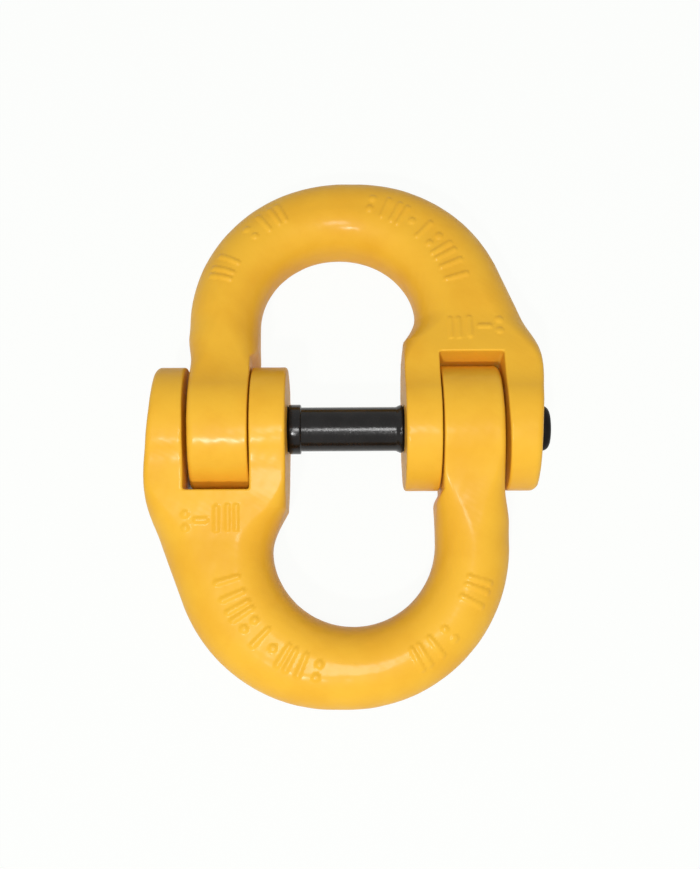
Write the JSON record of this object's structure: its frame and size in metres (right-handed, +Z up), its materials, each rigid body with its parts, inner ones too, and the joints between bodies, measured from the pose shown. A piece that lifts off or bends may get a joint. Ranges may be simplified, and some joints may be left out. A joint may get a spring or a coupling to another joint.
{
  "type": "connecting link",
  "caption": "Forged lifting-chain connecting link: two bow-shaped half links, each with a tongue and a fork, hinged on one load pin held by a slotted sleeve.",
  "frame": {"origin": "on the surface the link lies on, below the middle of the overall box", "axes": "+X along the load pin, +Y along the link from the lower bow to the upper bow, +Z up through the link's thickness"},
  "size_m": [0.1188, 0.1618, 0.037],
  "materials": {
    "yellow_paint": "gloss enamel over forged steel",
    "black_steel": "semi-gloss black phosphate over heat-treated steel"
  },
  "bodies": {
    "lower_half": {"half_link_lower": "yellow_paint"},
    "upper_half": {"half_link_upper": "yellow_paint"},
    "pin": {"load_pin": "black_steel", "retaining_sleeve": "black_steel"}
  },
  "joints": [
    {"name": "half_swing", "type": "hinge", "parent": "lower_half", "child": "upper_half", "pos_m": [0, 0, 0.0185], "axis": [1, 0, 0], "range_deg": [-94, 115]},
    {"name": "pin_spin", "type": "hinge", "parent": "lower_half", "child": "pin", "pos_m": [0, 0, 0.0185], "axis": [1, 0, 0], "continuous": true}
  ]
}
